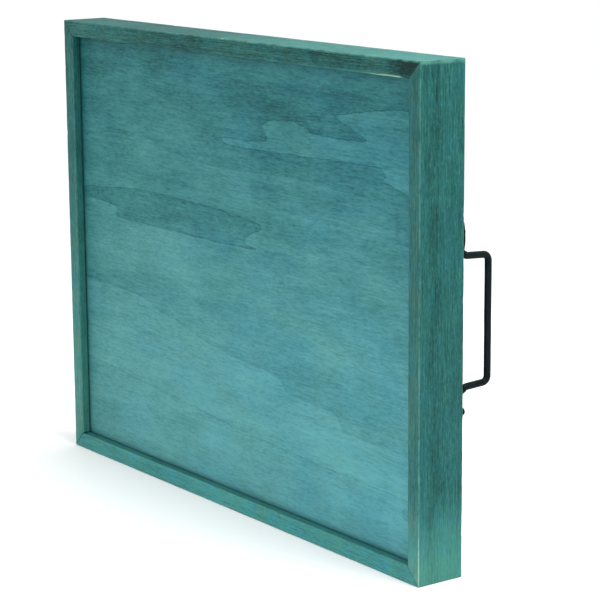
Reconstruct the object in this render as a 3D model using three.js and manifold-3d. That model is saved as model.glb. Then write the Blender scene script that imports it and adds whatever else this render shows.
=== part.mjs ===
// Handled wooden tray, stood on one long edge.
// Four mitred, grooved rails hold a plywood bottom; a bent-wire handle is screwed to the rim
// at the middle of each short side.
// Millimetres, +Z up. X runs along the tray, Y from its underside to its open side.
// The origin is at floor level, under the middle of the whole assembly.
import * as THREE from 'three';
import { mergeVertices } from 'three/addons/utils/BufferGeometryUtils.js';
import Module from 'manifold-3d';

const wasm = await Module();
wasm.setup();

// frame
const trayLength = 508;          // outside, along X
const trayWidth = 393.7;         // outside, along Z
const trayDepth = 42.5;          // underside to rim, along Y
const railThickness = 14;
const arrisRadius = 1;
const mitreGap = 0.3;            // glue line between two rails

// bottom panel and the groove that holds it
const panelThickness = 4;
const panelRecess = 8;           // underside of the rails to the panel's outer face
const grooveDepth = 6;
const grooveClearance = 0.3;     // each side of the panel
const panelEdgePlay = 1;         // panel's edge to the bottom of the groove

// wire handles
const wireDiameter = 5.5;
const gripSpan = 97.5;           // leg to leg at the grip, on the wire's centre line
const legSplay = 1.4;            // each leg's lean outwards between grip and rim
const footReach = 18.35;         // leg to screw, along the rim
const gripReach = 27.15;         // rim to the grip's centre line
const gripBendRadius = 5;
const footBendRadius = 4;
const padLength = 21.4;
const padWidth = 8.4;
const padThickness = 1.6;
const handleInset = 4.8;         // tray's short side to the plane of the handle
const seatGap = 0.3;             // handle to rim, and screw head to handle

// round-head wood screws
const screwShankDiameter = 3.4;
const screwLength = 14;
const screwHeadDiameter = 6;
const screwHeadHeight = 2.6;
const screwRecess = { width: 0.9, length: 3.4, depth: 1.3 };
const screwClearance = 0.3;

// brads that pin the mitres, two at each corner, driven in from the long sides
const bradDiameter = 1.3;
const bradLength = 30;
const bradHeadDiameter = 2.1;
const bradHeadHeight = 0.8;
const bradSink = 0.4;            // head below the wood's surface
const bradClearance = 0.3;
const bradFromFace = 12;         // from the underside, and from the rim

// roundness of the facets
const wireSides = 16;
const bendSteps = 6;
const turnedSides = 20;
const boreSides = 16;
const arrisSteps = 3;

const wireRadius = wireDiameter / 2;
const footSpan = gripSpan + 2 * legSplay;
const screwSpan = footSpan + 2 * footReach;
const wallBehindGroove = railThickness - grooveDepth;
const overallDepth = trayDepth + gripReach + wireRadius;
const undersideY = -overallDepth / 2;
const rimY = undersideY + trayDepth;
const rightAngle = Math.PI / 2;

function material(color, roughness, metalness) {
  return new THREE.MeshStandardMaterial({ color, roughness, metalness });
}

const stainedRail = () => material(0x3c7f7a, 0.7, 0);
const stainedPly = () => material(0x4b9599, 0.65, 0);
const blackWire = () => material(0x16181a, 0.45, 0.5);
const blackScrew = () => material(0x1b1d1f, 0.4, 0.6);
const bradSteel = () => material(0x6f7375, 0.4, 0.9);

// three.js geometry to a solid and back
function toSolid(geometry) {
  const bare = new THREE.BufferGeometry();
  bare.setAttribute('position', geometry.getAttribute('position').clone());
  bare.setIndex(geometry.getIndex());
  const merged = mergeVertices(bare, 1e-4);
  return new wasm.Manifold(new wasm.Mesh({
    numProp: 3,
    vertProperties: new Float32Array(merged.getAttribute('position').array),
    triVerts: new Uint32Array(merged.getIndex().array),
  }));
}

function toGeometry(solid) {
  const mesh = solid.getMesh();
  const geometry = new THREE.BufferGeometry();
  geometry.setAttribute('position', new THREE.BufferAttribute(mesh.vertProperties, 3));
  geometry.setIndex(new THREE.BufferAttribute(mesh.triVerts, 1));
  const facets = geometry.toNonIndexed();
  facets.computeVertexNormals();
  return facets;
}

function named(name, geometry, finish) {
  const mesh = new THREE.Mesh(geometry, finish);
  mesh.name = name;
  return mesh;
}

// Cuts bores, given as geometry in the tray's frame, out of a mesh already in its place.
function drill(mesh, bores) {
  mesh.updateWorldMatrix(true, false);
  const toLocal = mesh.matrixWorld.clone().invert();
  let solid = toSolid(mesh.geometry);
  for (const bore of bores) {
    solid = solid.subtract(toSolid(bore.clone().applyMatrix4(toLocal)));
  }
  mesh.geometry = toGeometry(solid);
}

// A straight bore from one point to another.
function bore(radius, from, to) {
  const along = new THREE.Vector3().subVectors(to, from);
  const geometry = new THREE.CylinderGeometry(radius, radius, along.length(), boreSides);
  const upright = new THREE.Vector3(0, 1, 0);
  const turn = new THREE.Quaternion().setFromUnitVectors(upright, along.normalize());
  const middle = new THREE.Vector3().addVectors(from, to).multiplyScalar(0.5);
  return geometry.applyQuaternion(turn).translate(middle.x, middle.y, middle.z);
}

// Rail section: x is the distance in from the outer side, y the height above the underside.
function railSection() {
  const r = arrisRadius;
  const grooveLow = panelRecess - grooveClearance;
  const grooveHigh = panelRecess + panelThickness + grooveClearance;
  const section = new THREE.Shape();
  section.moveTo(r, 0);
  section.lineTo(railThickness - r, 0);
  section.absarc(railThickness - r, r, r, -rightAngle, 0);
  section.lineTo(railThickness, grooveLow);
  section.lineTo(wallBehindGroove, grooveLow);
  section.lineTo(wallBehindGroove, grooveHigh);
  section.lineTo(railThickness, grooveHigh);
  section.lineTo(railThickness, trayDepth - r);
  section.absarc(railThickness - r, trayDepth - r, r, 0, rightAngle);
  section.lineTo(r, trayDepth);
  section.absarc(r, trayDepth - r, r, rightAngle, 2 * rightAngle);
  section.lineTo(0, r);
  section.absarc(r, r, r, 2 * rightAngle, 3 * rightAngle);
  return section;
}

// A rail lying along X, its outer side at z = 0 and its inner side above that.
// Each end is a 45 degree mitre: the further in from the outer side, the shorter the rail.
function railGeometry(length) {
  const geometry = new THREE.ExtrudeGeometry(railSection(), {
    depth: length,
    bevelEnabled: false,
    curveSegments: arrisSteps,
  });
  const position = geometry.getAttribute('position');
  const cutBack = mitreGap / Math.SQRT2;
  for (let i = 0; i < position.count; i += 1) {
    const inward = position.getX(i);
    const height = position.getY(i);
    const end = position.getZ(i) > length / 2 ? 1 : -1;
    const along = end * (length / 2 - inward - cutBack);
    position.setXYZ(i, -along, height, inward);
  }
  geometry.computeVertexNormals();
  return geometry;
}

function rail(name, length, quarterTurns, x, z) {
  const mesh = named(name, railGeometry(length), stainedRail());
  mesh.rotation.y = quarterTurns * rightAngle;
  mesh.position.set(x, undersideY, z);
  return mesh;
}

function bottomPanel() {
  const edgeInset = wallBehindGroove + panelEdgePlay;
  const geometry = new THREE.BoxGeometry(
    trayLength - 2 * edgeInset,
    panelThickness,
    trayWidth - 2 * edgeInset,
  );
  const mesh = named('bottom_panel', geometry, stainedPly());
  mesh.position.set(0, undersideY + panelRecess + panelThickness / 2, trayWidth / 2);
  return mesh;
}

// A wire bent in one plane: straight runs joined by arcs.
// Each straight run takes one step and each arc a few, so the facets go where the wire turns.
class BentWire extends THREE.Curve {
  constructor(corners, radii) {
    super();
    this.stations = [{ point: corners[0], tangent: direction(corners[0], corners[1]) }];
    for (let i = 1; i < corners.length - 1; i += 1) {
      this.addBend(corners[i - 1], corners[i], corners[i + 1], radii[i - 1]);
    }
    const last = corners.length - 1;
    const tangent = direction(corners[last - 1], corners[last]);
    this.stations.push({ point: corners[last], tangent });
  }

  addBend(before, corner, after, radius) {
    const incoming = direction(before, corner);
    const outgoing = direction(corner, after);
    const turn = incoming.angleTo(outgoing);
    const axis = new THREE.Vector3().crossVectors(incoming, outgoing).normalize();
    const toCentre = new THREE.Vector3().crossVectors(axis, incoming);
    const start = corner.clone().addScaledVector(incoming, -radius * Math.tan(turn / 2));
    const centre = start.clone().addScaledVector(toCentre, radius);
    for (let step = 0; step <= bendSteps; step += 1) {
      const angle = turn * step / bendSteps;
      const spoke = toCentre.clone().multiplyScalar(-radius).applyAxisAngle(axis, angle);
      const tangent = incoming.clone().applyAxisAngle(axis, angle);
      this.stations.push({ point: spoke.add(centre), tangent });
    }
  }

  station(t) {
    return this.stations[Math.round(t * (this.stations.length - 1))];
  }

  getPoint(t) {
    return this.station(t).point.clone();
  }

  getPointAt(t) {
    return this.getPoint(t);
  }

  getTangentAt(t) {
    return this.station(t).tangent.clone();
  }
}

function direction(from, to) {
  return new THREE.Vector3().subVectors(to, from).normalize();
}

function circle(radius, sides) {
  const outline = new THREE.Shape();
  outline.absarc(0, 0, radius, 0, 2 * Math.PI);
  return new THREE.Shape(outline.getPoints(sides / 2).slice(0, -1));
}

// Flattened end of the wire: an oval with a screw hole, lying on the rim with its middle at
// the given height.
function padGeometry(z) {
  const outline = new THREE.Shape();
  outline.absellipse(0, 0, padWidth / 2, padLength / 2, 0, 2 * Math.PI);
  const hole = new THREE.Path();
  hole.absarc(0, 0, screwShankDiameter / 2 + screwClearance, 0, 2 * Math.PI);
  outline.holes.push(hole);
  const geometry = new THREE.ExtrudeGeometry(outline, {
    depth: padThickness,
    bevelEnabled: false,
    curveSegments: turnedSides,
  });
  return geometry.rotateX(-rightAngle).translate(0, seatGap, z);
}

// Handle in its own plane: y is the distance off the rim, z along the side, 0 at its middle.
function handleGeometry() {
  const lieHeight = seatGap + wireRadius;
  const footEnd = screwSpan / 2 - screwHeadDiameter / 2 - wireRadius;
  const corners = [
    new THREE.Vector3(0, lieHeight, -footEnd),
    new THREE.Vector3(0, lieHeight, -footSpan / 2),
    new THREE.Vector3(0, gripReach, -gripSpan / 2),
    new THREE.Vector3(0, gripReach, gripSpan / 2),
    new THREE.Vector3(0, lieHeight, footSpan / 2),
    new THREE.Vector3(0, lieHeight, footEnd),
  ];
  const radii = [footBendRadius, gripBendRadius, gripBendRadius, footBendRadius];
  const path = new BentWire(corners, radii);
  const wire = new THREE.ExtrudeGeometry(circle(wireRadius, wireSides), {
    steps: path.stations.length - 1,
    bevelEnabled: false,
    extrudePath: path,
  });
  const lower = toSolid(padGeometry(-screwSpan / 2));
  const upper = toSolid(padGeometry(screwSpan / 2));
  return toGeometry(toSolid(wire).add(lower).add(upper));
}

// Round-head screw along Y, its head's seat at y = 0 and a cross recess in the head.
function screwGeometry() {
  const headRadius = screwHeadDiameter / 2;
  const shankRadius = screwShankDiameter / 2;
  const headSide = screwHeadHeight * 0.45;
  const profile = new THREE.Path();
  profile.moveTo(0, -screwLength);
  profile.lineTo(shankRadius, shankRadius * 2 - screwLength);
  profile.lineTo(shankRadius, 0);
  profile.lineTo(headRadius, 0);
  profile.lineTo(headRadius, headSide);
  profile.quadraticCurveTo(headRadius, screwHeadHeight, 0, screwHeadHeight);
  const turned = new THREE.LatheGeometry(profile.getPoints(arrisSteps), turnedSides);
  const { width, length, depth } = screwRecess;
  const recessMiddle = screwHeadHeight;
  const across = new THREE.BoxGeometry(width, 2 * depth, length).translate(0, recessMiddle, 0);
  const along = new THREE.BoxGeometry(length, 2 * depth, width).translate(0, recessMiddle, 0);
  return toGeometry(toSolid(turned).subtract(toSolid(across)).subtract(toSolid(along)));
}

// Headed brad along Y, the top of its head at y = 0.
function bradGeometry() {
  const headRadius = bradHeadDiameter / 2;
  const shankRadius = bradDiameter / 2;
  const profile = [
    new THREE.Vector2(0, -bradLength),
    new THREE.Vector2(shankRadius, shankRadius * 3 - bradLength),
    new THREE.Vector2(shankRadius, -bradHeadHeight),
    new THREE.Vector2(headRadius, -bradHeadHeight),
    new THREE.Vector2(headRadius, 0),
    new THREE.Vector2(0, 0),
  ];
  return new THREE.LatheGeometry(profile, turnedSides);
}

const tray = new THREE.Group();
const halfLength = trayLength / 2;
const midHeight = trayWidth / 2;

const bottomRail = rail('bottom_rail', trayLength, 0, 0, 0);
const topRail = rail('top_rail', trayLength, 2, 0, trayWidth);
const leftRail = rail('left_rail', trayWidth, 1, -halfLength, midHeight);
const rightRail = rail('right_rail', trayWidth, -1, halfLength, midHeight);
tray.add(bottomRail, topRail, leftRail, rightRail, bottomPanel());

const sides = [
  { name: 'left', sign: -1, sideRail: leftRail },
  { name: 'right', sign: 1, sideRail: rightRail },
];
const levels = [
  { name: 'lower', sign: -1, endRail: bottomRail },
  { name: 'upper', sign: 1, endRail: topRail },
];

// handles and their screws
for (const side of sides) {
  const x = side.sign * (halfLength - handleInset);
  const handle = new THREE.Group();
  handle.position.set(x, rimY, midHeight);
  handle.add(named(`${side.name}_handle`, handleGeometry(), blackWire()));
  const screwBores = [];
  for (const level of levels) {
    const z = level.sign * screwSpan / 2;
    const screw = named(`${side.name}_${level.name}_screw`, screwGeometry(), blackScrew());
    screw.position.set(0, padThickness + 2 * seatGap, z);
    handle.add(screw);
    const mouth = new THREE.Vector3(x, rimY + 1, midHeight + z);
    const end = new THREE.Vector3(x, rimY - screwLength, midHeight + z);
    screwBores.push(bore(screwShankDiameter / 2 + screwClearance, mouth, end));
  }
  tray.add(handle);
  drill(side.sideRail, screwBores);
}

// brads through each mitre, in the wall of wood behind the groove
const bradDepths = [
  { name: 'under', y: undersideY + bradFromFace },
  { name: 'rim', y: rimY - bradFromFace },
];
for (const side of sides) {
  for (const level of levels) {
    const x = side.sign * (halfLength - wallBehindGroove / 2);
    const bores = [];
    for (const depth of bradDepths) {
      const name = `${side.name}_${level.name}_${depth.name}_brad`;
      const brad = named(name, bradGeometry(), bradSteel());
      brad.rotation.x = level.sign > 0 ? 0 : 2 * rightAngle;
      const upright = new THREE.Group();
      upright.rotation.x = rightAngle;
      upright.position.set(x, depth.y, midHeight + level.sign * (midHeight - bradSink));
      upright.add(brad);
      tray.add(upright);
      const at = (inward) => {
        const z = midHeight + level.sign * (midHeight - inward);
        return new THREE.Vector3(x, depth.y, z);
      };
      const shankEnd = bradSink + bradLength + bradClearance;
      const headEnd = bradSink + bradHeadHeight + bradClearance;
      bores.push(bore(bradDiameter / 2 + bradClearance, at(0), at(shankEnd)));
      bores.push(bore(bradHeadDiameter / 2 + bradClearance, at(-1), at(headEnd)));
    }
    drill(side.sideRail, bores);
    drill(level.endRail, bores);
  }
}

export default tray;
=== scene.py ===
import math
import bpy
import numpy as np
from mathutils import Matrix, Vector


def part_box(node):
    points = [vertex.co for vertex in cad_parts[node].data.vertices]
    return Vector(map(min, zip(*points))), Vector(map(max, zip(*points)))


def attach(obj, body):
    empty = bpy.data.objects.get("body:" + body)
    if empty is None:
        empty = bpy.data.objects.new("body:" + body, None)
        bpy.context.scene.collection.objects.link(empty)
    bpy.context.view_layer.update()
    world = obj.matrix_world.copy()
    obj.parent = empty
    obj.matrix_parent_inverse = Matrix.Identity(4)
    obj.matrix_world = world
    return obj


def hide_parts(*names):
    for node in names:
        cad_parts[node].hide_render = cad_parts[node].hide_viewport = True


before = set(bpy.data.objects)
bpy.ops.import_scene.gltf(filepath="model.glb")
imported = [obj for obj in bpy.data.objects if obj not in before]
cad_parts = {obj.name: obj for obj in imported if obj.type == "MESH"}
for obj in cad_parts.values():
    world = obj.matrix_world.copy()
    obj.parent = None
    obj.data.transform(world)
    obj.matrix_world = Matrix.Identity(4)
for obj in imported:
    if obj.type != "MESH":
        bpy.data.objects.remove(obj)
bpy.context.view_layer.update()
mm = 0.001


def smoothRise(x, low, high):
    # 0 below low, 1 above high, an S-curve between them
    t = np.clip((x - low) / (high - low), 0, 1)
    return t * t * (3 - 2 * t)


def ripple(s, lengths, seed):
    # sum of sines of a few wavelengths with seeded phases, between -1 and 1
    phases = np.random.default_rng(seed).uniform(0, 2 * np.pi, len(lengths))
    total = sum(np.sin(2 * np.pi * s / w + p) for w, p in zip(lengths, phases))
    return total / len(lengths)


def gridFaces(rows, cols, wrapRows, wrapCols):
    # quads between neighbouring points of a grid, rows first
    i = np.arange(rows if wrapRows else rows - 1)
    j = np.arange(cols if wrapCols else cols - 1)
    i, j = [a.ravel() for a in np.meshgrid(i, j, indexing="ij")]
    i2, j2 = (i + 1) % rows, (j + 1) % cols
    return np.stack([i * cols + j, i2 * cols + j, i2 * cols + j2, i * cols + j2], 1)


def makePiece(name, points, finish, stands=(), wrapRows=False, wrapCols=True, caps=True,
              layers=None, sharpAngle=38):
    # points is an array rows x cols x 3; layers are values of the same grid, kept as attributes
    rows, cols = points.shape[:2]
    quads = gridFaces(rows, cols, wrapRows, wrapCols).tolist()
    if caps:
        quads.append(list(range(cols)))
        quads.append(list(range((rows - 1) * cols, rows * cols)))
    mesh = bpy.data.meshes.new(name)
    mesh.from_pydata(points.reshape(-1, 3).tolist(), [], quads)
    for key, values in (layers or {}).items():
        attribute = mesh.attributes.new(key, "FLOAT", "POINT")
        attribute.data.foreach_set("value", np.ascontiguousarray(values, np.float32).ravel())
    piece = bpy.data.objects.new(name, mesh)
    bpy.context.scene.collection.objects.link(piece)
    faceOutwards(mesh)
    mesh.polygons.foreach_set("use_smooth", np.ones(len(mesh.polygons), bool))
    mesh.set_sharp_from_angle(angle=math.radians(sharpAngle))
    mesh.materials.append(finish)
    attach(piece, "root")
    if stands:
        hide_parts(*stands)
    return piece


def faceOutwards(mesh):
    # turns every face round if the closed shell's signed volume is negative
    mesh.calc_loop_triangles()
    co = np.empty(len(mesh.vertices) * 3)
    mesh.vertices.foreach_get("co", co)
    tri = np.empty(len(mesh.loop_triangles) * 3, int)
    mesh.loop_triangles.foreach_get("vertices", tri)
    corner = co.reshape(-1, 3)[tri.reshape(-1, 3)]
    volume = np.einsum("ij,ij->i", corner[:, 0], np.cross(corner[:, 1], corner[:, 2])).sum()
    if volume < 0:
        mesh.flip_normals()


railLow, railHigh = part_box("bottom_rail")
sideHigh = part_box("right_rail")[1]
panelLow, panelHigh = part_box("bottom_panel")
tray = {
    "halfLength": sideHigh.x,
    "height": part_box("top_rail")[1].z,
    "underside": railLow.y,
    "rim": railHigh.y,
    "railThickness": railHigh.z - railLow.z,
    "panelOuter": panelLow.y,
    "panelInner": panelHigh.y,
}
tray["depth"] = tray["rim"] - tray["underside"]
tray["midHeight"] = tray["height"] / 2
print("frame loaded, tray", round(2 * tray["halfLength"], 4), "x", round(tray["height"], 4))


view = {
    "position": (1.474, -1.0216, 0.5436),
    "aim": (0.05544, -0.0003, 0.1833),
    "roll": 0.436,             # degrees that the camera's top leans to the right
    "lens": 131.8,
}


def makeCamera():
    data = bpy.data.cameras.new("camera")
    data.lens = view["lens"]
    data.sensor_width = 36
    data.clip_end = 20
    camera = bpy.data.objects.new("camera", data)
    forward = (Vector(view["aim"]) - Vector(view["position"])).normalized()
    level = forward.cross(Vector((0, 0, 1))).normalized()
    roll = math.radians(view["roll"])
    up = math.cos(roll) * level.cross(forward) + math.sin(roll) * level
    right = forward.cross(up)
    turn = Matrix((right, up, -forward)).transposed()
    camera.matrix_world = Matrix.Translation(view["position"]) @ turn.to_4x4()
    bpy.context.scene.collection.objects.link(camera)
    bpy.context.scene.camera = camera


studio = {
    "floorSize": 12.0,
    "floorColour": (0.94, 0.94, 0.94),
    "worldColour": (1.0, 1.0, 1.0),
    "worldStrength": 1.08,
    "topLight": {"at": (0.65, 0.15, 1.3), "size": (0.8, 0.8), "aim": (0.2, 0, 0.2), "watts": 17},
    "lowLight": {"at": (0.1, -0.5, 0.03), "size": (1.2, 0.05), "aim": (0.1, 0, 0.05), "watts": 1.2},
}


def makeLight(name, settings):
    data = bpy.data.lights.new(name, "AREA")
    data.shape = "RECTANGLE"
    data.size, data.size_y = settings["size"]
    data.energy = settings["watts"]
    lamp = bpy.data.objects.new(name, data)
    lamp.location = settings["at"]
    aim = Vector(settings["aim"]) - Vector(settings["at"])
    lamp.rotation_euler = aim.to_track_quat("-Z", "Y").to_euler()
    lamp.visible_camera = False
    bpy.context.scene.collection.objects.link(lamp)


def makeStudio():
    half = studio["floorSize"] / 2
    corners = [(-half, -half, 0), (half, -half, 0), (half, half, 0), (-half, half, 0)]
    mesh = bpy.data.meshes.new("floor")
    mesh.from_pydata(corners, [], [(0, 1, 2, 3)])
    floor = bpy.data.objects.new("floor", mesh)
    bpy.context.scene.collection.objects.link(floor)
    paint = bpy.data.materials.new("floorPaper")
    paint.use_nodes = True
    shader = paint.node_tree.nodes["Principled BSDF"]
    shader.inputs["Base Color"].default_value = (*studio["floorColour"], 1)
    shader.inputs["Roughness"].default_value = 0.9
    mesh.materials.append(paint)
    world = bpy.data.worlds.new("studio")
    world.use_nodes = True
    background = world.node_tree.nodes["Background"]
    background.inputs["Color"].default_value = (*studio["worldColour"], 1)
    background.inputs["Strength"].default_value = studio["worldStrength"]
    bpy.context.scene.world = world
    for key in ("topLight", "lowLight"):
        makeLight(key, studio[key])
    bpy.context.scene.view_settings.view_transform = "Standard"


makeCamera()
makeStudio()
print("camera and studio ready")


class Nodes:
    # short hand for building a node tree: each method adds one node and returns its output
    def __init__(self, name):
        self.material = bpy.data.materials.new(name)
        self.material.use_nodes = True
        self.tree = self.material.node_tree
        self.shader = self.tree.nodes["Principled BSDF"]

    def add(self, kind, inputs=None, **settings):
        node = self.tree.nodes.new(kind)
        for key, value in settings.items():
            setattr(node, key, value)
        for key, value in (inputs or {}).items():
            self.put(node.inputs[key], value)
        return node

    def put(self, socket, value):
        if isinstance(value, bpy.types.NodeSocket):
            self.tree.links.new(value, socket)
        else:
            socket.default_value = value

    def objectPlace(self, scale, offset=(0, 0, 0)):
        place = self.add("ShaderNodeTexCoord").outputs["Object"]
        inputs = {"Vector": place, "Location": offset, "Scale": scale}
        return self.add("ShaderNodeMapping", inputs).outputs["Vector"]

    def noise(self, vector, scale=1.0, detail=3.0, rough=0.5, distortion=0.0):
        inputs = {"Vector": vector, "Scale": scale, "Detail": detail, "Roughness": rough,
                  "Distortion": distortion}
        return self.add("ShaderNodeTexNoise", inputs).outputs["Fac"]

    def span(self, value, low, high, outLow=0.0, outHigh=1.0, smooth=False):
        kind = "SMOOTHSTEP" if smooth else "LINEAR"
        inputs = {"Value": value, "From Min": low, "From Max": high, "To Min": outLow,
                  "To Max": outHigh}
        return self.add("ShaderNodeMapRange", inputs, interpolation_type=kind).outputs["Result"]

    def sum(self, operation, first, second):
        node = self.add("ShaderNodeMath", operation=operation)
        self.put(node.inputs[0], first)
        self.put(node.inputs[1], second)
        return node.outputs[0]

    def mix(self, amount, first, second, blend="MIX"):
        node = self.add("ShaderNodeMix", data_type="RGBA", blend_type=blend)
        self.put(node.inputs[0], amount)
        self.put(node.inputs[6], (*first, 1) if isinstance(first, tuple) else first)
        self.put(node.inputs[7], (*second, 1) if isinstance(second, tuple) else second)
        return node.outputs[2]

    def blend(self, amount, first, second):
        node = self.add("ShaderNodeMix", data_type="FLOAT")
        for k, value in enumerate((amount, first, second)):
            self.put(node.inputs[(0, 2, 3)[k]], value)
        return node.outputs[0]

    def layer(self, key):
        return self.add("ShaderNodeAttribute", attribute_name=key).outputs["Fac"]

    def bump(self, height, strength, distance):
        inputs = {"Height": height, "Strength": strength, "Distance": distance}
        return self.add("ShaderNodeBump", inputs).outputs["Normal"]


def linear(red, green, blue):
    # a colour as painted, 0 to 255, to the light value that the shader takes
    c = np.array([red, green, blue]) / 255
    return tuple(float(x) for x in np.where(c < 0.04045, c / 12.92, ((c + 0.055) / 1.055) ** 2.4))


railStain = {
    "deep": linear(2, 38, 35),
    "thin": linear(57, 130, 124),
    "pore": linear(4, 46, 44),
    "deepTint": (0.55, 1.0, 0.99),
    # tint of the painted floor light at each rail's lower end
    "paintedFloorLightTint": (1.35, 1.03, 0.84),
    "oliveTint": (1.9, 0.96, 0.92),
    "blueTint": (0.92, 1.0, 1.24),
    "speck": linear(76, 138, 126),
    "rubbed": linear(92, 150, 134),
    "bare": linear(166, 176, 150),
    "sheen": 0.13,
}
# how thinly each rail took the stain, 0 deep to 1 thin, over most of it, more so on its underside;
# the bottom rail's paler tone is partly painted light from the floor; how much paler each rail is
# painted at its lower end and how far up, painted light bounced from the floor; how olive, blue,
# patchy and streaky it is; and what its outer side shows, on the top rail's top face a painted
# lamp light and sheen to the right
railLooks = {
    "bottom": {"tone": 0.78, "face": 0.03, "low": 0.0, "reach": 0.2,
               "olive": 0.25, "blue": 0.9, "mottle": 1.0, "streaky": 1.7,
               "heart": 0.10, "paintedLightAndSheen": 0.0, "cornerWear": 0.0, "endStain": 0.0,
               "nailed": True, "nicked": False},
    "top": {"tone": 0.15, "face": 0.0, "low": 0.0, "reach": 0.2,
            "olive": 0.6, "blue": 0.5, "mottle": 1.2, "streaky": 1.25,
            "heart": 0.0, "paintedLightAndSheen": 0.36, "cornerWear": 0.2, "endStain": 0.36,
            "nailed": True, "nicked": False},
    "left": {"tone": 0.30, "face": 0.0, "low": 0.50, "reach": 0.3,
             "olive": 0.7, "blue": 0.5, "mottle": 1.0, "streaky": 1.2,
             "heart": 0.10, "paintedLightAndSheen": 0.0, "cornerWear": 0.0, "endStain": 0.0,
             "nailed": False, "nicked": False},
    "right": {"tone": 0.18, "face": 0.05, "low": 0.60, "reach": 0.080,
              "olive": 0.9, "blue": 0.6, "mottle": 0.4, "streaky": 1.0,
              "heart": 0.13, "paintedLightAndSheen": 0.0, "cornerWear": 0.26, "endStain": 0.0,
              "nailed": False, "nicked": True},
}


def makeRailFinish(name, grainAlongX, offset, look):
    n = Nodes(name)
    long = (0.03, 1, 1) if grainAlongX else (1, 1, 0.03)
    short = (0.18, 1, 1) if grainAlongX else (1, 1, 0.18)
    grain = n.objectPlace(long, offset)
    plain = n.objectPlace((1, 1, 1), offset)
    specked = n.objectPlace(short, offset)
    bands = n.noise(grain, 120, 3, 0.55, 0.6)
    fibres = n.noise(grain, 1100, 4, 0.65)
    streaks = n.noise(specked, 1100, 4, 0.7)
    pores = n.noise(grain, 2300, 2, 0.5)
    clouds = n.noise(plain, 38, 4, 0.6)
    blotches = n.noise(plain, 9, 3, 0.5)
    patchy = look["mottle"]
    tone = n.span(bands, 0.3, 0.7, -0.10 * patchy, 0.10 * patchy)
    tone = n.sum("ADD", tone, n.span(clouds, 0.3, 0.7, -0.09 * patchy, 0.09 * patchy))
    tone = n.sum("ADD", tone, n.span(blotches, 0.35, 0.65, -0.08 * patchy, 0.08 * patchy))
    streaky = look["streaky"]
    tone = n.sum("ADD", tone, n.span(fibres, 0.3, 0.7, -0.20 * streaky, 0.20 * streaky))
    tone = n.sum("ADD", tone, n.span(streaks, 0.3, 0.7, -0.19 * streaky, 0.19 * streaky))
    height = n.add("ShaderNodeSeparateXYZ", {"Vector": n.objectPlace((1, 1, 1))}).outputs["Z"]
    # painted light: paler towards the floor, as far up as reach, standing in for light bounced up
    # from the floor
    lower = n.span(height, look["reach"], 0.0, 0, look["low"], True)
    amount = n.sum("ADD", n.sum("ADD", tone, lower), look["tone"])
    # the heart layer also carries the top rail's top face painted paler to the right, a painted lamp
    # light
    amount = n.sum("SUBTRACT", amount, n.layer("heart"))
    colour = n.mix(n.span(amount, -0.2, 1), railStain["deep"], railStain["thin"])
    colour = n.mix(n.span(amount, 0.5, 0), colour, railStain["deepTint"], "MULTIPLY")
    # painted light: the paler lower end is also tinted warmer
    colour = n.mix(lower, colour, railStain["paintedFloorLightTint"], "MULTIPLY")
    hue = n.noise(n.objectPlace((1, 1, 1), (offset[1], offset[2], offset[0])), 60, 5, 0.65, 0.4)
    olive = n.sum("MULTIPLY", n.span(hue, 0.42, 0.62, 0.15, 1), n.layer("olive"))
    colour = n.mix(n.sum("MULTIPLY", olive, look["olive"]), colour, railStain["oliveTint"],
                   "MULTIPLY")
    blue = n.sum("ADD", n.span(hue, 0.56, 0.38, 0, look["blue"]), n.layer("blue"))
    colour = n.mix(blue, colour, railStain["blueTint"], "MULTIPLY")
    dashes = n.span(pores, 0.60, 0.72, 0, 0.5)
    colour = n.mix(dashes, colour, railStain["pore"])
    specks = n.span(n.noise(specked, 1300, 3, 0.6), 0.60, 0.74, 0, 0.6)
    colour = n.mix(specks, colour, railStain["speck"])
    uneven = n.span(n.noise(plain, 120, 5, 0.7), 0.36, 0.62, 0.25, 1)
    # worn arrises and corners go towards the rubbed colour, and so does the top rail's top face to
    # the right, a painted sheen
    wearAndPaintedSheen = n.sum("MULTIPLY", n.layer("wearAndPaintedSheen"), uneven)
    colour = n.mix(n.span(wearAndPaintedSheen, 0.15, 0.9, 0, 0.42), colour, railStain["rubbed"])
    bareness = n.sum("MULTIPLY", n.layer("bare"), n.span(streaks, 0.3, 0.6, 0.55, 1))
    colour = n.mix(n.span(bareness, 0.08, 0.5, 0, 0.55), colour, railStain["rubbed"])
    colour = n.mix(n.span(bareness, 0.35, 0.9, 0, 0.8), colour, railStain["bare"])
    # darker in the mitres and brad dimples, where stain gathers, and in the nick; painted shade on
    # the inner side with a painted shadow line at the panel
    colour = n.mix(n.layer("stainAndPaintedShade"), colour, railStain["pore"])
    n.put(n.shader.inputs["Base Color"], colour)
    n.put(n.shader.inputs["Roughness"], n.span(fibres, 0.3, 0.7, 0.55, 0.72))
    n.shader.inputs["Specular IOR Level"].default_value = railStain["sheen"]
    height = n.sum("SUBTRACT", n.sum("MULTIPLY", fibres, 0.6), dashes)
    n.put(n.shader.inputs["Normal"], n.bump(height, 0.35, 0.00018))
    return n.material


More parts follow.
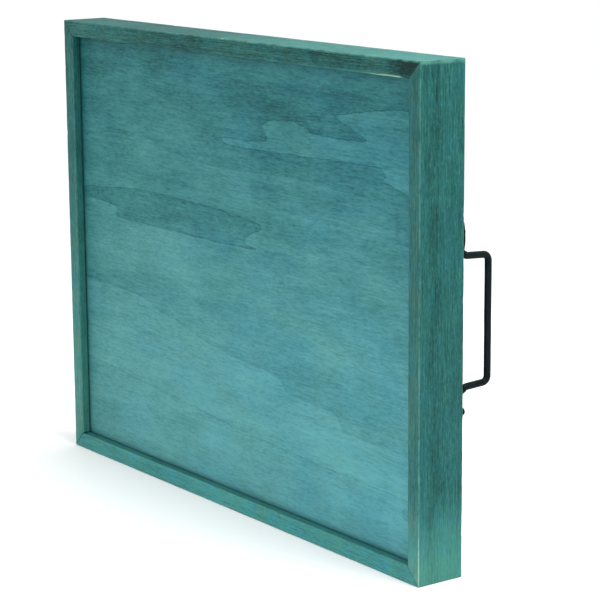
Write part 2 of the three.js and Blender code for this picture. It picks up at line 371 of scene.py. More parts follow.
rails = {
    "arris": 1.0 * mm,         # radius that the outer long edges are eased to
    "innerArris": 1.9 * mm,    # and the edges next to the panel
    "arrisWear": 0.5 * mm,     # how much further a worn stretch goes
    "cornerRound": 1.3 * mm,   # where two outer sides meet
    "wobble": 0.16 * mm,
    "grooveDepth": 6 * mm,
    "grooveGap": 0.3 * mm,
    "jointGap": 0.03 * mm,     # each rail back from the mitre plane
    "step": 1.5 * mm,
    "nicks": 9,
}
nick = {                       # one small hole in an upper edge
    "fromUnderside": 17 * mm,
    "fromEnd": 0.8 * mm,
    "radius": 0.75 * mm,
    "deep": 0.6 * mm,
}
brad = {
    "fromEnd": 4 * mm,         # along a long rail's outer side
    "fromFace": 12 * mm,       # in from the underside, and from the rim
    "headRadius": 1.05 * mm,
    "dimple": 0.22 * mm,       # left above the filled and stained head
}
mitres = {                     # how far each joint's edges are eased, so that the line shows
    "lowerLeft": 0.75 * mm,
    "lowerRight": 0.4 * mm,
    "upperLeft": 0.45 * mm,
    "upperRight": 0.4 * mm,
}


def straightRun(start, end, steps, normal, stations):
    # points from start up to, not including, end; start and end may change along the rail
    t = np.arange(steps) / steps
    u = np.broadcast_to(start[0], (stations,))[:, None] * (1 - t)
    u = u + np.broadcast_to(end[0], (stations,))[:, None] * t
    v = np.broadcast_to(start[1], (stations,))[:, None] * (1 - t)
    v = v + np.broadcast_to(end[1], (stations,))[:, None] * t
    nu = np.full(u.shape, float(normal[0]))
    nv = np.full(u.shape, float(normal[1]))
    return u, v, nu, nv


def easedArris(centreU, centreV, radius, startAngle, steps):
    # quarter circle about (centreU, centreV), from startAngle, a radius for each station
    angle = startAngle + np.arange(steps) / steps * np.pi / 2
    nu = np.broadcast_to(np.cos(angle), (len(radius), steps))
    nv = np.broadcast_to(np.sin(angle), (len(radius), steps))
    u = np.broadcast_to(centreU, radius.shape)[:, None] + radius[:, None] * nu
    v = np.broadcast_to(centreV, radius.shape)[:, None] + radius[:, None] * nv
    return u, v, nu, nv


def outerRun(start, stations):
    # the outer side, from the rim down to the underside, with points close together round a
    # brad and the nick
    d, near = tray["depth"], 1.5 * mm
    at = [d - brad["fromFace"], brad["fromFace"], nick["fromUnderside"]]
    v = np.linspace(d - 2 * mm, 2 * mm, 21)
    v = v[np.min([np.abs(v - c) for c in at], axis=0) > near]
    v = np.concatenate([v] + [c + np.linspace(-near, near, 13) for c in at])
    v = np.sort(v)[::-1]
    v = np.concatenate([np.broadcast_to(start, (stations,))[:, None],
                        np.broadcast_to(v, (stations, len(v)))], 1)
    u = np.zeros(v.shape)
    return u, v, u - 1, u


def railSection(radii):
    # closed loop round the rail: u inwards from the outer side, v up from the underside;
    # also the outward direction at each point
    t, d = tray["railThickness"], tray["depth"]
    low = tray["panelOuter"] - tray["underside"] - rails["grooveGap"]
    high = tray["panelInner"] - tray["underside"] + rails["grooveGap"]
    back = t - rails["grooveDepth"]
    n = radii.shape[1]
    a, b, c, e = radii      # outer-underside, inner-underside, inner-rim, outer-rim
    quarter = np.pi / 2
    parts = [
        straightRun((a, 0), (t - b, 0), 10, (0, -1), n),
        easedArris(t - b, b, b, -quarter, 6),
        straightRun((t, b), (t, low), 5, (1, 0), n),
        straightRun((t, low), (back, low), 3, (0, 0), n),
        straightRun((back, low), (back, high), 3, (0, 0), n),
        straightRun((back, high), (t, high), 3, (0, 0), n),
        straightRun((t, high), (t, d - c), 16, (1, 0), n),
        easedArris(t - c, d - c, c, 0, 6),
        straightRun((t - c, d), (e, d), 10, (0, 1), n),
        easedArris(e, d - e, e, quarter, 6),
        outerRun(d - e, n),
        easedArris(a, a, a, 2 * quarter, 6),
    ]
    return [np.concatenate([p[k] for p in parts], axis=1) for k in range(4)]


def railStations(length):
    # -1 to 1 along the rail, close together near the mitres and round the brads
    ends = np.array([0, .08, .16, .26, .38, .52, .7, .9, 1.15, 1.5, 2.0, 2.7, 3.6, 4.8]) * mm
    middle = np.arange(6 * mm, length / 2, rails["step"])
    atBrad = brad["fromEnd"] + np.linspace(-1.5, 1.5, 13) * mm
    ends = ends[(ends < atBrad[0]) | (ends > atBrad[-1])]
    fromEnd = np.sort(np.concatenate([ends, atBrad, middle]))
    half = 1 - fromEnd / (length / 2)
    return np.concatenate([-half, half[::-1][half[::-1] > 0]])


def makeRail(name, length, seed, easeStart, easeEnd, place, finish, look, bareness=None):
    # a rounded section carried along the rail; both ends cut back at 45 degrees, so that
    # how far a point is along shrinks with how far in it is
    c = railStations(length)
    s = c * length / 2
    local = np.random.default_rng(seed)
    plainRadii = [rails["arris"], rails["innerArris"], rails["innerArris"], rails["arris"]]
    radii = np.stack([radius + rails["arrisWear"] * np.clip(
        ripple(s, (0.21, 0.083, 0.034, 0.013), seed * 7 + k), 0, 1)
        for k, radius in enumerate(plainRadii)])
    u, v, nu, nv = railSection(radii)
    along = c[:, None] * (length / 2 - u - rails["jointGap"] * math.sqrt(2))
    fromEnd = length / 2 - np.abs(along)
    calm = smoothRise(fromEnd, 2 * mm, 25 * mm)
    sideways = ripple(s, (0.31, 0.17, 0.09, 0.045), seed * 7 + 5)[:, None]
    upDown = ripple(s, (0.27, 0.14, 0.07, 0.04), seed * 7 + 6)[:, None]
    sink = rails["wobble"] * calm * (1 + np.abs(nu) * sideways + np.abs(nv) * upDown) / 2
    # small nicks: shallow dips that fall off along the rail and round the arris
    t, d = tray["railThickness"], tray["depth"]
    for k in range(rails["nicks"]):
        cu, cv = local.choice([0, t]), local.choice([0, d])
        at = local.uniform(-0.44, 0.44) * length
        wide, deep = local.uniform(0.8, 2.4) * mm, local.uniform(0.15, 0.45) * mm
        away = ((along - at) / wide) ** 2 + ((u - cu) ** 2 + (v - cv) ** 2) / (1.3 * mm) ** 2
        sink = sink + deep * np.exp(-away)
    dimple = np.zeros(along.shape)
    if look["nailed"]:
        for at in (brad["fromFace"], d - brad["fromFace"]):
            offTheSide = 10 * mm * (u > 0.1 * mm)
            away = np.hypot(fromEnd - brad["fromEnd"], v - at) + offTheSide
            dimple = dimple + 1 - smoothRise(away, 0.75 * brad["headRadius"],
                                             1.2 * brad["headRadius"])
        sink = sink + brad["dimple"] * dimple
    hole = np.zeros(along.shape)
    if look["nicked"]:
        away = np.hypot(length / 2 - along - nick["fromEnd"], v - nick["fromUnderside"])
        hole = (1 - smoothRise(away, 0.3 * nick["radius"], nick["radius"])) * (u < 0.1 * mm)
        sink = sink + nick["deep"] * hole
    # eased edge of the mitre: a quarter circle down to the joint
    ease = np.where(along < 0, easeStart, easeEnd)
    toJoint = np.clip(fromEnd - u, 0, None) / math.sqrt(2)
    short = np.clip(ease - toJoint, 0, None)
    sink = sink + ease - np.sqrt(np.clip(ease ** 2 - short ** 2, 0, None))
    u2, v2 = u - nu * sink, v - nv * sink
    # round the outer corner: whatever is outside the circle is drawn in to it
    r = rails["cornerRound"]
    de, du = r - (length / 2 - np.abs(along)), r - u2
    out = np.hypot(np.clip(de, 0, None), np.clip(du, 0, None))
    pull = np.where((de > 0) & (du > 0) & (out > r), r / np.maximum(out, 1e-9), 1)
    u2 = np.where(pull < 1, r - du * pull, u2)
    along = np.where(pull < 1, np.sign(along) * (length / 2 - (r - de * pull)), along)
    # every arris and the outer corners are worn; the top rail's top face also takes a painted sheen
    # below
    near = np.minimum.reduce([np.hypot(u - cu, v - cv) for cu in (0, t) for cv in (0, d)])
    wearAndPaintedSheen = np.exp(-(near / (1.1 * mm)) ** 2)
    corner = np.exp(-(fromEnd / (1.6 * mm)) ** 2) * np.exp(-(u / (1.2 * mm)) ** 2)
    outerSide = 1 - smoothRise(u, 0.5 * mm, 1.5 * mm)
    strip = outerSide * (along > 0) * (1 - smoothRise(fromEnd, 1.6 * mm, 4.6 * mm))
    bare = bareness(along, u, v) if bareness else np.zeros_like(wearAndPaintedSheen)
    bare = bare + look["cornerWear"] * np.maximum(strip, corner * (along > 0))
    # darker on the inner side, partly gathered stain and partly painted shade, and darkest right at
    # the panel, a painted shadow line in the gap
    toPanel = tray["panelOuter"] - tray["underside"]
    recessed = v < toPanel + 1 * mm
    inner = smoothRise(u, t - 1.2 * mm, t - 0.2 * mm)
    stainAndPaintedShade = inner * (0.15 + np.where(recessed, 0.75 * smoothRise(v, toPanel - 1.1 * mm,
                                                                   toPanel - 0.5 * mm), 0))
    # the outer side has a darker heart that wanders along the grain; on the top rail it is painted
    # paler to the right, a painted lamp light
    middle = 14 * mm + 3 * mm * ripple(s, (0.13, 0.07), seed * 7 + 8)[:, None]
    heart = look["heart"] * np.exp(-((v - middle) / (5 * mm)) ** 2)
    heart = outerSide * (heart - look["paintedLightAndSheen"] * smoothRise(along, -0.25, 0.3))
    # the underside is darker near its right end, and may be paler all over
    underside = 1 - smoothRise(v, 0.5 * mm, 1.5 * mm)
    nearEnd = 1 - smoothRise(length / 2 - along, 14 * mm, 48 * mm)
    heart = heart + underside * (look["endStain"] * nearEnd - look["face"])
    wearAndPaintedSheen = wearAndPaintedSheen + corner + 2.4 * look["cornerWear"] * strip
    # painted lamp light and sheen: the top rail's top face goes towards the rubbed colour to the
    # right
    wearAndPaintedSheen = wearAndPaintedSheen + 1.6 * outerSide * look["paintedLightAndSheen"] * smoothRise(along, -0.3, 0.2)
    wearAndPaintedSheen = np.clip(wearAndPaintedSheen, 0, 1)
    bluish = ripple(s, (0.24, 0.11), seed * 7 + 9)[:, None] - 1.4 * along / length
    blue = outerSide * np.exp(-((v - 4 * mm) / (2.0 * mm)) ** 2) * np.clip(bluish, 0, 0.8)
    # dark line of glue and stain in the mitre, and in a filled brad's dimple
    stainAndPaintedShade = stainAndPaintedShade + 0.8 * ease / (0.75 * mm) * np.exp(-(toJoint / (0.35 * mm)) ** 2)
    stainAndPaintedShade = np.clip(stainAndPaintedShade + 0.45 * dimple + 0.9 * hole, 0, 0.95)
    olive = 1 - smoothRise(v, 0.6 * mm, 1.2 * mm)
    atRim = smoothRise(v, d - 3.2 * mm, d - 1.2 * mm)
    olive = np.maximum(olive, outerSide * (0.1 + 0.35 * atRim))
    points = place(along, u2, v2 + tray["underside"])
    return makePiece(name, points, finish, (name.replace("_wood", ""),),
                     layers={"wearAndPaintedSheen": wearAndPaintedSheen, "bare": bare, "stainAndPaintedShade": stainAndPaintedShade, "heart": heart,
                             "blue": blue, "olive": olive})


def lowerEdgeBare(along, u, v):
    # underside-outer arris of the right rail, rubbed to the wood towards its lower end
    near = np.exp(-(np.hypot(u, v) / (0.9 * mm)) ** 2)
    far = np.exp(-(np.hypot(u, tray["depth"] - v) / (1.0 * mm)) ** 2)
    length = tray["height"]
    rubbed = 0.30 * smoothRise(-along, -0.1 * length, 0.3 * length) + 0.6 * smoothRise(
        -along, 0.34 * length, 0.44 * length)
    return near * rubbed + 0.6 * far * smoothRise(-along, 0.38 * length, 0.44 * length)


def lowerLipBare(along, u, v):
    # inner-underside arris of the bottom rail: a faint pale line that comes and goes
    near = np.exp(-(np.hypot(u - tray["railThickness"], v - 0.3 * mm) / (0.8 * mm)) ** 2)
    return near * (0.62 + 0.16 * ripple(along, (0.11, 0.043, 0.017), 31))


def upperLipBare(along, u, v):
    # inner-underside arris of the top rail, near its right end
    wide = (1.0 + 0.8 * smoothRise(along, 0.19, 0.222)) * mm
    near = 0.9 * np.exp(-(np.hypot(u - tray["railThickness"], v) / wide) ** 4)
    streak = near * smoothRise(along, 0.172, 0.20) * (1 - smoothRise(along, 0.228, 0.237))
    chip = np.hypot((along - 0.001) / 2.2, np.hypot(u, v - 0.3 * mm))
    return streak + np.exp(-(chip / (0.9 * mm)) ** 2)


def makeRails():
    half, height, mid = tray["halfLength"], tray["height"], tray["midHeight"]
    m, looks = mitres, railLooks
    finishes = {
        "bottom": makeRailFinish("bottomRailStain", True, (0.3, 0.1, 0.7), looks["bottom"]),
        "top": makeRailFinish("topRailStain", True, (1.3, 0.6, 0.2), looks["top"]),
        "left": makeRailFinish("leftRailStain", False, (2.1, 0.4, 0.9), looks["left"]),
        "right": makeRailFinish("rightRailStain", False, (3.7, 0.8, 0.5), looks["right"]),
    }
    makeRail("bottom_rail_wood", 2 * half, 11, m["lowerLeft"], m["lowerRight"],
             lambda s, u, y: np.stack([s, y, u], -1),
             finishes["bottom"], looks["bottom"], lowerLipBare)
    makeRail("top_rail_wood", 2 * half, 12, m["upperLeft"], m["upperRight"],
             lambda s, u, y: np.stack([s, y, height - u], -1),
             finishes["top"], looks["top"], upperLipBare)
    makeRail("left_rail_wood", height, 13, m["lowerLeft"], m["upperLeft"],
             lambda s, u, y: np.stack([u - half, y, mid + s], -1),
             finishes["left"], looks["left"])
    makeRail("right_rail_wood", height, 14, m["lowerRight"], m["upperRight"],
             lambda s, u, y: np.stack([half - u, y, mid + s], -1),
             finishes["right"], looks["right"], lowerEdgeBare)


makeRails()
print("rails made")


panel = {
    "bow": 0.25 * mm,
    "stepX": 2.4 * mm,
    "stepZ": 2.3 * mm,
}
plyStain = {
    "deep": linear(3, 50, 56),
    "thin": linear(80, 146, 149),
    "deepTint": (0.5, 1.0, 1.01),
    "pore": linear(10, 66, 72),
    "greenTint": (1.05, 1.0, 0.92),
    "blueTint": (0.86, 0.972, 1.045),
    # colour of the painted shade and gathered stain at the panel's edges
    "pooledAndPaintedShade": linear(4, 46, 50),
    "sheen": 0.13,
}
# growth layers that the peeled veneer cuts through, in millimetres right of the left rail's lip
# and down from the top rail's lip: closed outlines, or open edges that run from left to right;
# tones are (at the edge, further off, how far off), inside or above first, then outside or below
growthLayers = {
    "tongue": {
        "closed": True, "in": (-0.17, -0.14, 30), "out": (0.03, 0.0, 12), "line": 0.26,
        "points": [(-14, 143), (-14, 136), (33, 132), (89, 127), (165, 127), (231, 129), (274, 133),
                   (281, 136), (279, 139), (264, 144), (257, 148), (260, 152), (274, 154), (231, 156),
                   (96, 156), (57, 155), (57, 148), (43, 145)],
    },
    "paleBand": {
        "closed": True, "in": (0.08, 0.04, 20), "out": (-0.12, 0.0, 40), "line": 0.22,
        "points": [(492, 27), (389, 34), (376, 35), (383, 37), (406, 46), (421, 51), (409, 53),
                   (355, 53), (343, 49), (323, 46), (304, 47), (290, 50), (284, 54), (289, 59),
                   (291, 63), (287, 65), (271, 67), (231, 68), (225, 70), (228, 72), (244, 74),
                   (297, 73), (426, 70), (439, 72), (444, 76), (442, 80), (492, 83)],
    },
    "ledge": {
        "closed": False, "in": (-0.14, 0.0, 42), "out": (0.04, 0.0, 50), "line": 0.10,
        "points": [(-14, 217), (82, 221), (112, 225), (116, 229), (142, 233), (185, 242),
                   (238, 250), (290, 254), (307, 259), (315, 265), (333, 267), (373, 269),
                   (383, 272), (388, 278), (391, 283), (439, 284), (492, 286)],
    },
    "lowLedge": {
        "closed": False, "in": (0.01, -0.03, 30), "out": (-0.06, 0.0, 22), "line": 0.20,
        "points": [(-14, 291), (33, 294), (66, 297), (132, 302), (182, 306), (228, 309), (350, 316),
                   (396, 317), (492, 320)],
    },
    "knot": {
        "closed": True, "in": (0.0, -0.12, 3), "out": (0.04, 0.0, 5), "line": 0.45,
        "points": [(465, 330), (466.5, 327), (469.5, 326.5), (473, 329), (473.5, 332.5),
                   (470.5, 334), (467, 333)],
    },
    "highLedge": {
        "closed": False, "in": (-0.05, 0.0, 18), "out": (0.06, 0.0, 14), "line": -0.08,
        "points": [(-14, 94), (20, 86), (53, 82), (109, 81), (132, 86), (158, 91), (230, 95),
                   (330, 92), (492, 99)],
    },
}


def roundedLine(points, closed):
    # a Catmull-Rom curve through the points, eight short runs between each two
    p = np.array(points, float) * mm
    if not closed:
        p = np.concatenate([p[:1], p, p[-1:]])
    t = np.arange(8)[:, None] / 8
    runs = []
    count = len(p) if closed else len(p) - 3
    for k in range(count):
        a, b, c, d = [p[(k + o) % len(p)] for o in range(4)]
        runs.append(0.5 * (2 * b + (c - a) * t + (2 * a - 5 * b + 4 * c - d) * t ** 2
                           + (3 * b - a - 3 * c + d) * t ** 3))
    return np.concatenate(runs)


def depthInLayer(x, y, layer):
    # metres inside the layer's outline, or above its edge, and negative on the other side
    line = roundedLine(layer["points"], layer["closed"])
    if not layer["closed"]:
        return np.interp(x, line[:, 0], line[:, 1]) - y
    return insideDistance(x, y, line)


def insideDistance(x, y, corners):
    # distance to a closed outline of straight runs, positive inside it
    nearest = np.full(x.shape, np.inf)
    inside = np.zeros(x.shape, bool)
    for (ax, ay), (bx, by) in zip(corners, np.roll(corners, -1, axis=0)):
        dx, dy = bx - ax, by - ay + 1e-9
        t = np.clip(((x - ax) * dx + (y - ay) * dy) / (dx * dx + dy * dy), 0, 1)
        nearest = np.minimum(nearest, np.hypot(x - ax - t * dx, y - ay - t * dy))
        crosses = (ay > y) != (by > y)
        inside ^= crosses & (x < dx * (y - ay) / dy + ax)
    return np.where(inside, nearest, -nearest)


def makePlyFinish():
    n = Nodes("plywoodStain")
    long = n.objectPlace((0.06, 1.0, 1.0), (0.4, 0.2, 0.9))
    short = n.objectPlace((0.22, 1.0, 1.0), (0.7, 0.3, 0.1))
    plain = n.objectPlace((1, 1, 1), (0.1, 0.5, 0.3))
    bands = n.noise(long, 90, 3, 0.5, 0.4)
    fibres = n.noise(long, 700, 4, 0.65)
    flecks = n.noise(short, 760, 4, 0.7)
    clouds = n.noise(short, 60, 5, 0.65)
    blotches = n.noise(plain, 15, 5, 0.6)
    tone = n.span(bands, 0.3, 0.7, -0.06, 0.06)
    tone = n.sum("ADD", tone, n.span(clouds, 0.3, 0.7, -0.11, 0.11))
    tone = n.sum("ADD", tone, n.span(fibres, 0.3, 0.7, -0.15, 0.15))
    tone = n.sum("ADD", tone, n.span(flecks, 0.3, 0.7, -0.23, 0.23))
    tone = n.sum("ADD", tone, n.span(blotches, 0.35, 0.65, -0.08, 0.08))
    place = n.add("ShaderNodeSeparateXYZ", {"Vector": n.objectPlace((1, 1, 1))}).outputs
    # painted light: paler towards the bottom, standing in for light bounced up from the floor
    tone = n.sum("ADD", tone, n.span(place["Z"], 0.42, 0.04, 0.15, 0.67, True))
    tone = n.sum("ADD", tone, n.span(place["X"], -0.25, -0.12, -0.10, 0, True))
    for key, layer in growthLayers.items():
        depth = n.layer(key)
        near, far, reach = layer["in"]
        nearOut, farOut, reachOut = layer["out"]
        within = n.span(depth, 0, reach * mm, near, far)
        beyond = n.span(depth, 0, -reachOut * mm, nearOut, farOut)
        side = n.span(depth, -0.3 * mm, 0.3 * mm, 0, 1, True)
        tone = n.sum("ADD", tone, n.blend(side, beyond, within))
        onEdge = n.span(n.sum("ABSOLUTE", depth, 0), 0, 0.8 * mm, layer["line"], 0, True)
        tone = n.sum("SUBTRACT", tone, onEdge)
    colour = n.mix(n.span(tone, -0.35, 1), plyStain["deep"], plyStain["thin"])
    colour = n.mix(n.span(tone, 0.6, 0), colour, plyStain["deepTint"], "MULTIPLY")
    hue = n.noise(n.objectPlace((0.5, 1, 1), (0.2, 0.9, 0.6)), 26, 5, 0.62, 0.5)
    leftwards = n.span(place["X"], 0.15, -0.22, 0, 0.16)
    hue = n.sum("ADD", hue, leftwards)
    colour = n.mix(n.span(hue, 0.5, 0.8), colour, plyStain["greenTint"], "MULTIPLY")
    colour = n.mix(n.span(hue, 0.56, 0.36), colour, plyStain["blueTint"], "MULTIPLY")
    dashes = n.span(flecks, 0.60, 0.74, 0, 0.3)
    colour = n.mix(dashes, colour, plyStain["pore"])
    # painted shade and gathered stain at the panel's edges, with painted shadow lines in the gaps
    colour = n.mix(n.layer("stainAndPaintedShade"), colour, plyStain["pooledAndPaintedShade"])
    n.put(n.shader.inputs["Base Color"], colour)
    n.put(n.shader.inputs["Roughness"], n.span(fibres, 0.3, 0.7, 0.5, 0.66))
    n.shader.inputs["Specular IOR Level"].default_value = plyStain["sheen"]
    height = n.sum("SUBTRACT", n.sum("MULTIPLY", fibres, 0.5), dashes)
    n.put(n.shader.inputs["Normal"], n.bump(height, 0.3, 0.00015))
    return n.material


def makePanel():
    # a slab: one loop up its outer face and down its inner face, carried along X
    x = np.arange(panelLow.x, panelHigh.x + panel["stepX"] / 2, panel["stepX"])
    x[-1] = panelHigh.x
    z = np.arange(panelLow.z, panelHigh.z + panel["stepZ"] / 2, panel["stepZ"])
    z[-1] = panelHigh.z
    loopZ = np.concatenate([z, z[::-1]])
    outer = np.concatenate([np.ones(len(z)), np.zeros(len(z))])
    gx, gz = np.meshgrid(x, loopZ, indexing="ij")
    face = np.broadcast_to(outer, gx.shape)
    sag = panel["bow"] * (ripple(gx + 0.3 * gz, (0.41, 0.23), 3) + ripple(gz, (0.33, 0.19), 4)) / 2
    middle = smoothRise(np.minimum(gz - panelLow.z, panelHigh.z - gz), 0, 0.04)
    middle = middle * smoothRise(np.minimum(gx - panelLow.x, panelHigh.x - gx), 0, 0.04)
    sag = np.abs(sag) * middle
    gy = np.where(face > 0.5, tray["panelOuter"] + sag, tray["panelInner"] - 0.1 * mm)
    lip = tray["railThickness"]
    right = gx + tray["halfLength"] - lip
    down = tray["height"] - lip - gz
    warp = 0.5 * mm * ripple(gx, (0.043, 0.026, 0.015), 8) + 0.4 * mm * ripple(gz, (0.023,), 9)
    layers = {}
    for key, layer in growthLayers.items():
        # the inner face shows other layers of the same wood, so its outlines are turned about
        frontDepth = depthInLayer(right, down + warp, layer)
        backDepth = depthInLayer(0.48 - right, 0.36 - down + warp, layer)
        layers[key] = np.where(face > 0.5, frontDepth, backDepth)
    left, low = right, tray["height"] - 2 * lip - down
    farRight = 2 * (tray["halfLength"] - lip) - right
    # darker at every edge: narrow painted shadow lines in the gaps at the left and lower rails, a
    # painted shadow under the top rail, and wider bands and the right edge partly gathered stain and
    # partly painted shade
    stainAndPaintedShade = 0.9 * np.exp(-left / (1.2 * mm)) + 0.25 * np.exp(-left / (12 * mm))
    stainAndPaintedShade = stainAndPaintedShade + 0.9 * np.exp(-low / (1.5 * mm)) + 0.10 * np.exp(-low / (12 * mm))
    stainAndPaintedShade = stainAndPaintedShade + 0.2 * np.exp(-down / (6 * mm)) + 0.2 * np.exp(-farRight / (3 * mm))
    layers["stainAndPaintedShade"] = np.clip(stainAndPaintedShade, 0, 0.9)
    points = np.stack([gx, gy, gz], -1)
    makePiece("bottom_panel_ply", points, makePlyFinish(), ("bottom_panel",),
              layers=layers)


makePanel()
print("panel made")


handleLow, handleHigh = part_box("right_handle")
upperScrewLow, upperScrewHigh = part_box("right_upper_screw")
wireRadius = 2.75 * mm
handle = {
    "wireRadius": wireRadius,
    "gripHalf": 48.75 * mm,       # leg to the middle of the grip
    "splay": 1.4 * mm,
    "gripBend": 5 * mm,
    "footBend": 4 * mm,
    "padHalfLength": 10.6 * mm,
    "seat": 0.03 * mm,            # clear of the rim
    "step": 0.7 * mm,
    "sides": 40,
    "plane": (handleLow.x + handleHigh.x) / 2,
    "reach": handleHigh.y - tray["rim"] - wireRadius,      # middle of the grip's wire
    "screwHalf": (upperScrewLow.z + upperScrewHigh.z) / 2 - tray["midHeight"],
}
# each flattened foot: where it is widest, from the screw outwards, and how wide and thick it is;
# how far its screw is turned, and how high that screw's head stands
feet = {
    "right_upper": {"widestAt": -5.5 * mm, "halfWidth": 4.4 * mm, "halfThickness": 0.9 * mm,
                    "turn": 0.4, "headHeight": 1.3 * mm},
    "right_lower": {"widestAt": 0, "halfWidth": 3.4 * mm, "halfThickness": 0.6 * mm,
                    "turn": 1.1, "headHeight": 3.1 * mm},
    "left_upper": {"widestAt": -2 * mm, "halfWidth": 4.0 * mm, "halfThickness": 0.8 * mm,
                   "turn": 0.15, "headHeight": 2.4 * mm},
    "left_lower": {"widestAt": -1 * mm, "halfWidth": 3.9 * mm, "halfThickness": 0.75 * mm,
                   "turn": 0.8, "headHeight": 2.5 * mm},
}


def blackFinish(name, roughLow, roughHigh, grit):
    n = Nodes(name)
    plain = n.objectPlace((1, 1, 1))
    patches = n.noise(plain, 140, 4, 0.6)
    fine = n.noise(plain, grit, 3, 0.6)
    colour = n.mix(n.span(patches, 0.35, 0.7), (0.001, 0.004, 0.004), (0.004, 0.011, 0.011))
    scuffs = n.span(n.noise(plain, 420, 5, 0.7), 0.66, 0.74, 0, 0.35)
    colour = n.mix(scuffs, colour, (0.02, 0.03, 0.03))
    n.put(n.shader.inputs["Base Color"], colour)
    n.put(n.shader.inputs["Roughness"], n.span(patches, 0.3, 0.7, roughLow, roughHigh))
    n.put(n.shader.inputs["Normal"], n.bump(n.sum("ADD", fine, patches), 0.25, 0.0002))
    n.shader.inputs["Specular IOR Level"].default_value = 0.06
    return n.material


def bentPath(corners, radii, step):
    # straight runs joined by tangent arcs, as points and directions spaced about one step apart
    points, headings = [], []
    start = corners[0]
    for before, corner, after, radius in zip(corners, corners[1:], corners[2:], radii):
        a = (corner - before) / np.linalg.norm(corner - before)
        b = (after - corner) / np.linalg.norm(after - corner)
        turn = math.acos(np.clip(a @ b, -1, 1))
        side = np.sign(a[0] * b[1] - a[1] * b[0])
        setback = radius * math.tan(turn / 2)
        arcStart = corner - a * setback
        run = max(2, int(np.linalg.norm(arcStart - start) / step))
        t = np.arange(run)[:, None] / run
        points.append(start + (arcStart - start) * t)
        headings.append(np.broadcast_to(a, (run, 2)))
        bend = max(6, int(radius * turn / step * 2))
        angle = np.arange(bend) / bend * turn
        inwards = side * np.array([-a[1], a[0]])
        centre = arcStart + inwards * radius
        spoke = -inwards
        cos, sin = np.cos(angle)[:, None], side * np.sin(angle)[:, None]
        turned = np.concatenate([cos * spoke[0] - sin * spoke[1], sin * spoke[0] + cos * spoke[1]], 1)
        points.append(centre + radius * turned)
        headings.append(np.concatenate([cos * a[0] - sin * a[1], sin * a[0] + cos * a[1]], 1))
        start = corner + b * setback
    run = max(2, int(np.linalg.norm(corners[-1] - start) / step))
    t = np.arange(run + 1)[:, None] / run
    points.append(start + (corners[-1] - start) * t)
    headings.append(np.broadcast_to((corners[-1] - start) / np.linalg.norm(corners[-1] - start),
                                    (run + 1, 2)))
    return np.concatenate(points), np.concatenate(headings)


def makeHandle(side, sideSign, seed, finish):
    # path in the handle's plane: (off the rim, along the side); the section is a circle on the
    # wire and flattens to a thin oval at each foot, with its underside kept on the rim
    h = handle
    r, foot = h["wireRadius"], h["gripHalf"] + h["splay"]
    tip = h["screwHalf"] + h["padHalfLength"]
    lie = r + h["seat"]
    corners = [np.array(p) for p in [
        (lie, -tip), (lie, -foot), (h["reach"], -h["gripHalf"]),
        (h["reach"], h["gripHalf"]), (lie, foot), (lie, tip)]]
    bends = [h["footBend"], h["gripBend"], h["gripBend"], h["footBend"]]
    centre, heading = bentPath(corners, bends, h["step"])
    fromScrew = np.abs(centre[:, 1]) - h["screwHalf"]
    onRim = smoothRise(np.abs(heading[:, 1]), 0.9, 0.999) * (centre[:, 0] < 2 * r)
    flat = onRim * smoothRise(fromScrew, -16.5 * mm, -12.5 * mm)
    isUpper = centre[:, 1] > 0
    widestAt, halfWidth, halfThickness = [
        np.where(isUpper, feet[side + "_upper"][key], feet[side + "_lower"][key])
        for key in ("widestAt", "halfWidth", "halfThickness")]
    fromWidest = fromScrew - widestAt
    leafLength = np.where(fromWidest > 0, h["padHalfLength"] - widestAt, h["padHalfLength"])
    leaf = np.sqrt(np.clip(1 - (fromWidest / leafLength) ** 2, 0, 1))
    neck = 0.78 * r * smoothRise(-fromScrew, 0, 1.1 * h["padHalfLength"])
    wide = r + (np.maximum(halfWidth * leaf, neck) - r) * flat
    wide = np.maximum(wide, 0.15 * mm)
    thick = r + (halfThickness - r) * flat
    thick = thick * np.where(fromScrew > 0, np.clip(leaf * 1.6, 0.25, 1), 1)
    centre = centre.copy()
    centre[:, 0] -= (r - thick) * onRim
    grip = centre[:, 0] > 0.5 * h["reach"]
    hand = ripple(centre[:, 1], (0.09, 0.041, 0.023), seed)
    wide = wide * (1 - 0.008 * (1 + hand))
    thick = thick * (1 - 0.006 * (1 - hand) * (1 - flat))
    power = (2 + 1.6 * flat)[:, None]
    theta = np.arange(h["sides"]) / h["sides"] * 2 * np.pi
    c, s = np.cos(theta)[None, :], np.sin(theta)[None, :]
    acrossX = wide[:, None] * np.sign(c) * np.abs(c) ** (2 / power)
    acrossN = thick[:, None] * np.sign(s) * np.abs(s) ** (2 / power)
    normal = np.stack([-heading[:, 1], heading[:, 0]], 1)
    off = centre[:, 0][:, None] + acrossN * normal[:, 0][:, None]
    along = centre[:, 1][:, None] + acrossN * normal[:, 1][:, None]
    sway = 0.12 * mm * hand * grip
    x = sideSign * h["plane"] + acrossX + sway[:, None]
    points = np.stack([x, tray["rim"] + off, tray["midHeight"] + along], -1)
    node = side + "_handle"
    return makePiece(node + "_bent", points, finish, (node,))


screw = {
    "headRadius": 3.0 * mm,
    "shankRadius": 1.65 * mm,
    "thread": 0.3 * mm,
    "pitch": 1.3 * mm,
    "recess": 1.1 * mm,
    "slotHalf": 0.42 * mm,
    "slotReach": 1.75 * mm,
    "domeRings": 34,
    "shankRings": 60,
    "pointRings": 9,
    "spokes": 96,
}


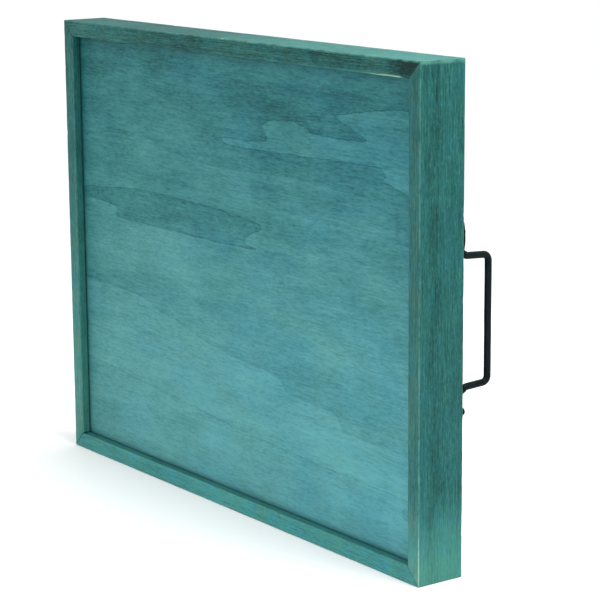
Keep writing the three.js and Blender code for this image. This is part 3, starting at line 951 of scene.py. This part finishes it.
def makeScrew(place, finish):
    # a profile spun about the screw's axis: recessed dome, head's underside, threaded shank, point
    k, foot, name = screw, feet[place], place + "_screw"
    turn, headHeight = foot["turn"], foot["headHeight"]
    low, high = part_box(name)
    axisX, axisZ = (low.x + high.x) / 2, (low.z + high.z) / 2
    seat = tray["rim"] + handle["seat"] + 2 * foot["halfThickness"] + 0.02 * mm
    theta = np.arange(k["spokes"]) / k["spokes"] * 2 * np.pi
    lean = np.linspace(0, np.pi / 2, k["domeRings"])
    domeR = k["headRadius"] * np.sin(lean) ** 0.92
    domeH = headHeight * (0.34 + 0.66 * np.cos(lean) ** 0.8)
    length = seat - low.y
    down = np.linspace(0, length - 2.6 * mm, k["shankRings"])
    taper = np.linspace(0, 1, k["pointRings"] + 1)[1:]
    radius = np.concatenate([domeR, [k["headRadius"], k["headRadius"] * 0.97, k["shankRadius"]],
                             np.full(k["shankRings"], k["shankRadius"]),
                             k["shankRadius"] * (1 - taper) + 1e-5])
    height = np.concatenate([domeH, [headHeight * 0.12, 0.0, -0.01 * mm], -0.05 * mm - down,
                             -0.05 * mm - down[-1] - taper * 2.5 * mm])
    r = np.broadcast_to(radius[:, None], (len(radius), k["spokes"])).copy()
    y = np.broadcast_to(height[:, None], r.shape).copy()
    shank = y < -1.5 * mm
    phase = (y / k["pitch"] - theta[None, :] / (2 * np.pi)) % 1
    ridge = np.clip(1 - np.abs(phase - 0.5) * 4, 0, 1) * smoothRise(-y, 1.5 * mm, 3 * mm)
    r = np.where(shank, r - k["thread"] * (1 - ridge) * np.clip(r / k["shankRadius"], 0, 1), r)
    px, pz = r * np.cos(theta)[None, :], r * np.sin(theta)[None, :]
    # cross recess: two slots with sloping walls, deepest in the middle
    def slotDepth(a, b):
        wall = 1 - smoothRise(np.abs(a), k["slotHalf"] * 0.75, k["slotHalf"] * 1.25)
        end = 1 - smoothRise(np.abs(b), k["slotReach"] * 0.55, k["slotReach"])
        return wall * end
    cut = np.maximum(slotDepth(px, pz), slotDepth(pz, px))
    onDome = (np.arange(len(radius)) < k["domeRings"])[:, None]
    y = y - k["recess"] * cut * onDome
    cosT, sinT = math.cos(turn), math.sin(turn)
    points = np.stack([axisX + px * cosT - pz * sinT, seat + y, axisZ + px * sinT + pz * cosT], -1)
    return makePiece(name + "_turned", points, finish, (name,))


def makeHandles():
    wirePaint = blackFinish("wirePaint", 0.34, 0.5, 2600)
    screwPaint = blackFinish("screwPaint", 0.3, 0.45, 3200)
    makeHandle("right", 1, 21, wirePaint)
    makeHandle("left", -1, 22, wirePaint)
    for place in feet:
        makeScrew(place, screwPaint)


makeHandles()
print("handles made")


def makeBradFinish():
    n = Nodes("bradSteel")
    plain = n.objectPlace((1, 1, 1))
    brushed = n.noise(plain, 900, 4, 0.6)
    colour = n.mix(n.span(brushed, 0.3, 0.7), (0.16, 0.17, 0.17), (0.30, 0.31, 0.31))
    n.put(n.shader.inputs["Base Color"], colour)
    n.shader.inputs["Metallic"].default_value = 1.0
    n.put(n.shader.inputs["Roughness"], n.span(brushed, 0.3, 0.7, 0.35, 0.6))
    return n.material


def dressBrads():
    steel = makeBradFinish()
    for name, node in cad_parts.items():
        if name.endswith("_brad"):
            node.data.materials.clear()
            node.data.materials.append(steel)


dressBrads()
print("brads dressed")
